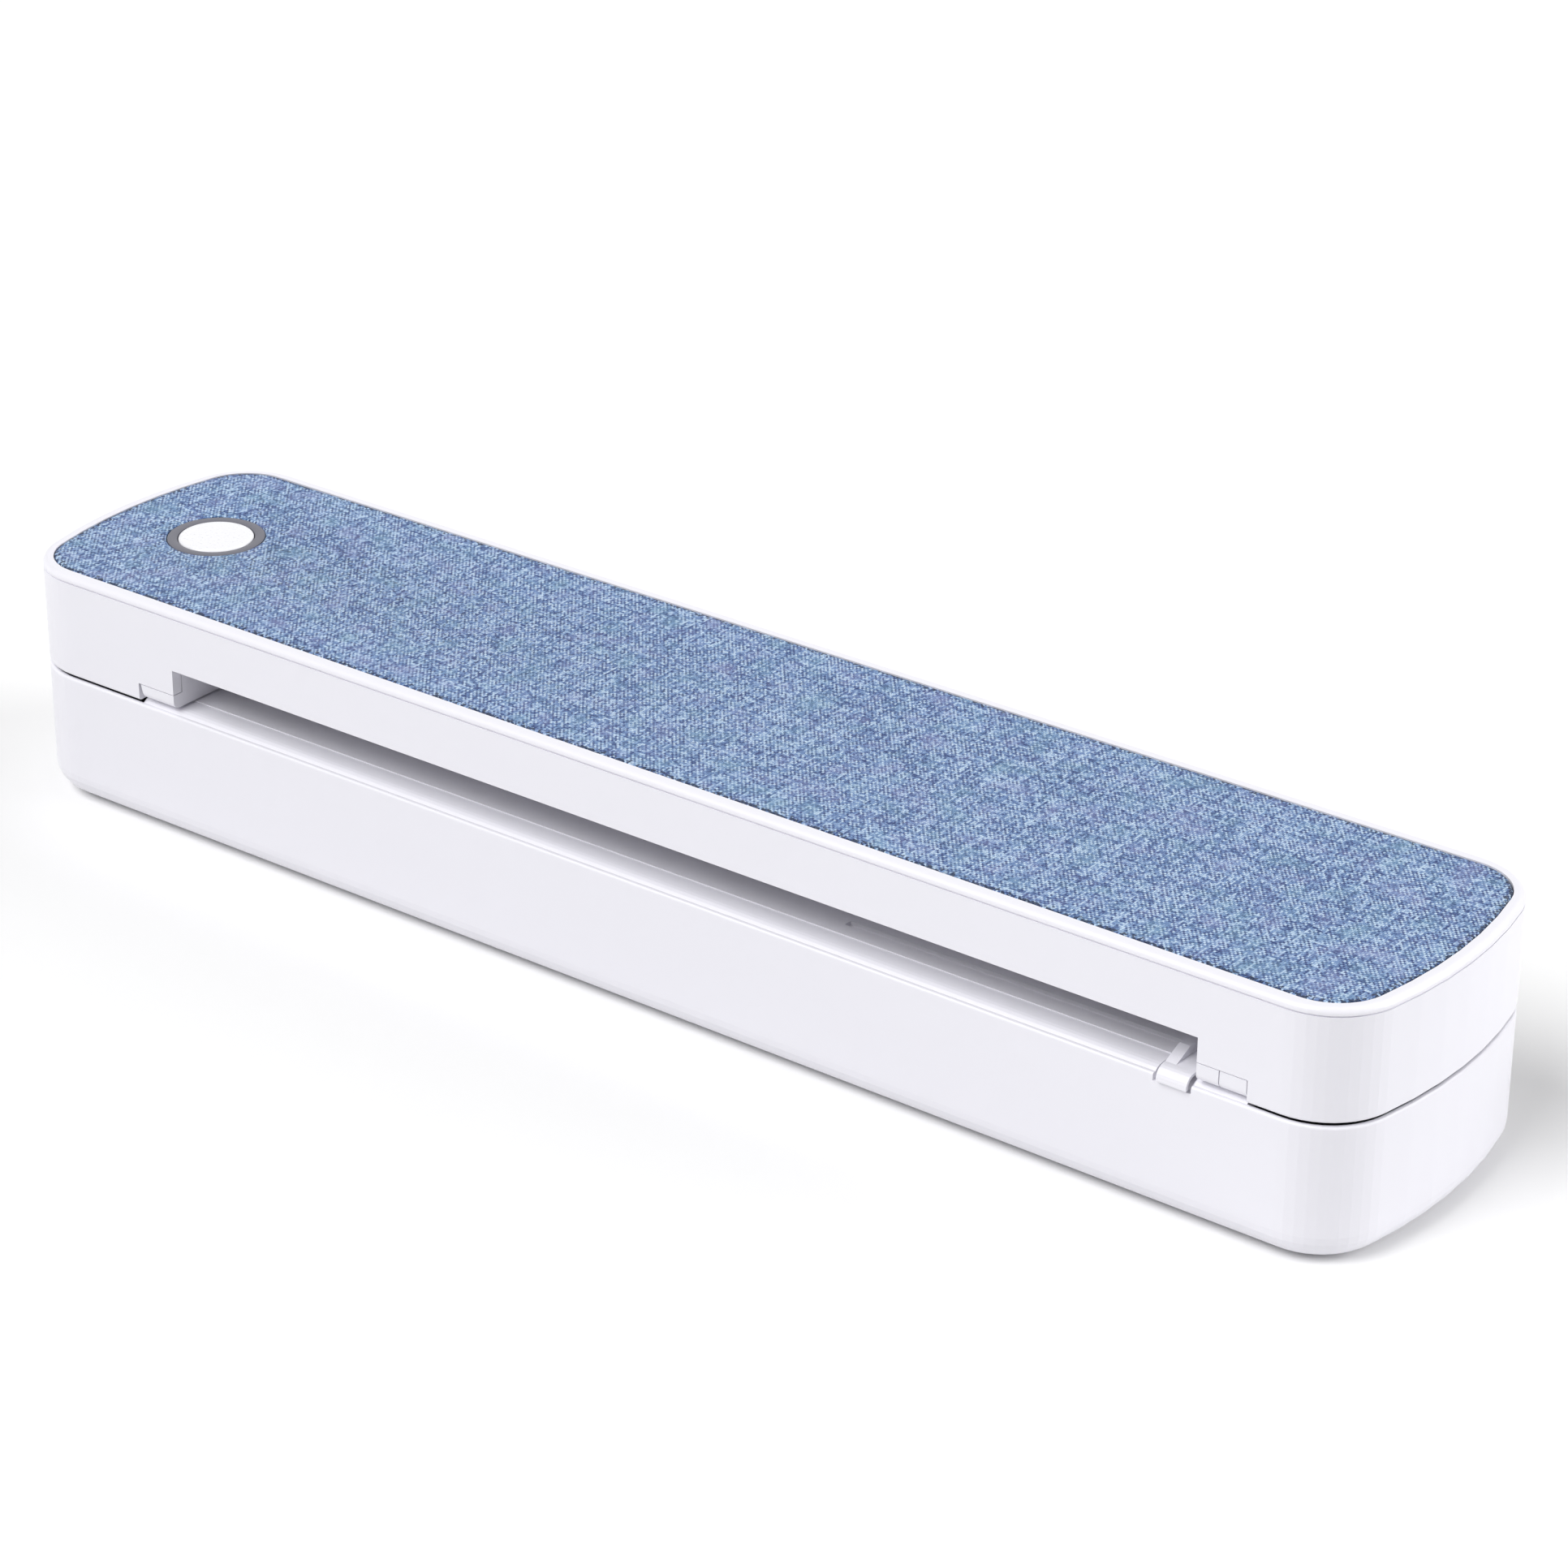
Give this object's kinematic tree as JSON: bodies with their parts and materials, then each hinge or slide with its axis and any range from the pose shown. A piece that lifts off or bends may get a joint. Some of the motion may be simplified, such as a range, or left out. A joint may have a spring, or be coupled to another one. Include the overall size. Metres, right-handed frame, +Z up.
{
  "type": "portable thermal printer",
  "caption": "Slim white portable thermal printer for A4 or Letter paper, with a hinged cover topped in blue fabric, a power button, a front exit slot and a sliding paper guide.",
  "frame": {"origin": "on the plane the feet rest on, under the middle of the body", "axes": "+X along the body to the right seen from the front, -Y towards the side where the paper leaves, +Z up"},
  "size_m": [0.3, 0.0632, 0.0481],
  "materials": {
    "shell_white": "satin",
    "deck_white": "satin",
    "blue_weave": "coarse weave",
    "backing": "raw",
    "ring_grey": "satin",
    "button_white": "satin",
    "black_rubber": "matt",
    "foot_rubber": "matt",
    "zinc_steel": "zinc plated",
    "spring_steel": "drawn wire",
    "motor_can": "drawn",
    "gear_plastic": "moulded",
    "bushing_plastic": "moulded",
    "pinion_brass": "cut",
    "dark_plastic": "moulded",
    "cell_sleeve": "shrink sleeve",
    "lead_red": "insulation",
    "lead_grey": "insulation",
    "cable_black": "insulation",
    "board_green": "solder mask",
    "chip_black": "moulded",
    "socket_ivory": "moulded",
    "sink_aluminium": "extruded",
    "ceramic_white": "glazed"
  },
  "bodies": {
    "base": {"case": "shell_white", "deck": "deck_white", "side_frame_left": "zinc_steel", "side_frame_right": "zinc_steel", "bushing_left": "bushing_plastic", "bushing_right": "bushing_plastic", "gear_axle": "zinc_steel", "motor_bracket": "zinc_steel", "motor": "motor_can", "motor_screws": "zinc_steel", "battery_tray": "dark_plastic", "battery_cell_left": "cell_sleeve", "battery_cell_right": "cell_sleeve", "battery_lead": "lead_red", "motor_lead": "lead_grey", "main_board": "board_green", "board_parts": "chip_black", "charging_socket": "zinc_steel", "paper_sensor": "chip_black", "latch_clip_left": "spring_steel", "latch_clip_right": "spring_steel", "hinge_pin_left": "zinc_steel", "hinge_pin_right": "zinc_steel", "foot_front_left": "foot_rubber", "foot_front_right": "foot_rubber", "foot_back_left": "foot_rubber", "foot_back_right": "foot_rubber", "case_screws": "zinc_steel", "frame_screws": "zinc_steel", "board_screws": "zinc_steel"},
    "platen": {"platen_shaft": "zinc_steel", "platen_rubber": "black_rubber", "platen_gear": "gear_plastic"},
    "double_gear": {"double_gear": "gear_plastic"},
    "rotor": {"motor_shaft": "zinc_steel", "motor_pinion": "pinion_brass"},
    "guide": {"width_guide": "shell_white"},
    "cover": {"cover": "shell_white", "trim_ring": "shell_white", "panel_board": "backing", "fabric": "blue_weave", "light_ring": "ring_grey", "power_switch": "dark_plastic", "button_board": "board_green", "cover_frame": "shell_white", "cover_screws": "zinc_steel", "latch_stud_left": "zinc_steel", "latch_stud_right": "zinc_steel", "head_rod": "zinc_steel", "head_spring_left": "spring_steel", "head_spring_middle": "spring_steel", "head_spring_right": "spring_steel", "head_cable": "cable_black"},
    "button": {"power_button": "button_white", "switch_plunger": "chip_black"},
    "head": {"heat_sink": "sink_aluminium", "head_ceramic": "ceramic_white", "head_board": "board_green", "head_driver_cover": "chip_black", "head_socket": "socket_ivory"}
  },
  "joints": [
    {"name": "cover_hinge", "type": "hinge", "parent": "base", "child": "cover", "pos_m": [0, 0.029, 0.027], "axis": [-1, 0, 0], "range_deg": [0, 75], "deforming": ["head_cable"]},
    {"name": "head_pivot", "type": "hinge", "parent": "cover", "child": "head", "pos_m": [0, 0.017, 0.0329], "axis": [-1, 0, 0], "range_deg": [0, 3], "stiffness_Nm_per_rad": 0.3, "springref_deg": -17.19, "deforming": ["head_spring_left", "head_spring_middle", "head_spring_right"]},
    {"name": "button_press", "type": "slide", "parent": "cover", "child": "button", "axis": [0, 0, -1], "range_m": [0, 0.0006], "stiffness_N_per_m": 1000, "springref_m": -0.0006},
    {"name": "guide_slide", "type": "slide", "parent": "base", "child": "guide", "axis": [1, 0, 0], "range_m": [-0.068, 0]},
    {"name": "platen_spin", "type": "hinge", "parent": "base", "child": "platen", "pos_m": [0, 0.001, 0.022], "axis": [1, 0, 0], "continuous": true},
    {"name": "double_gear_spin", "type": "hinge", "parent": "base", "child": "double_gear", "pos_m": [-0.12, 0.00939, 0.01568], "axis": [1, 0, 0], "continuous": true},
    {"name": "motor_spin", "type": "hinge", "parent": "base", "child": "rotor", "pos_m": [-0.124, -0.00243, 0.0136], "axis": [1, 0, 0], "continuous": true}
  ],
  "couplings": [
    {"joint": "double_gear_spin", "follows": "platen_spin", "ratio": -2},
    {"joint": "motor_spin", "follows": "platen_spin", "ratio": 6}
  ]
}
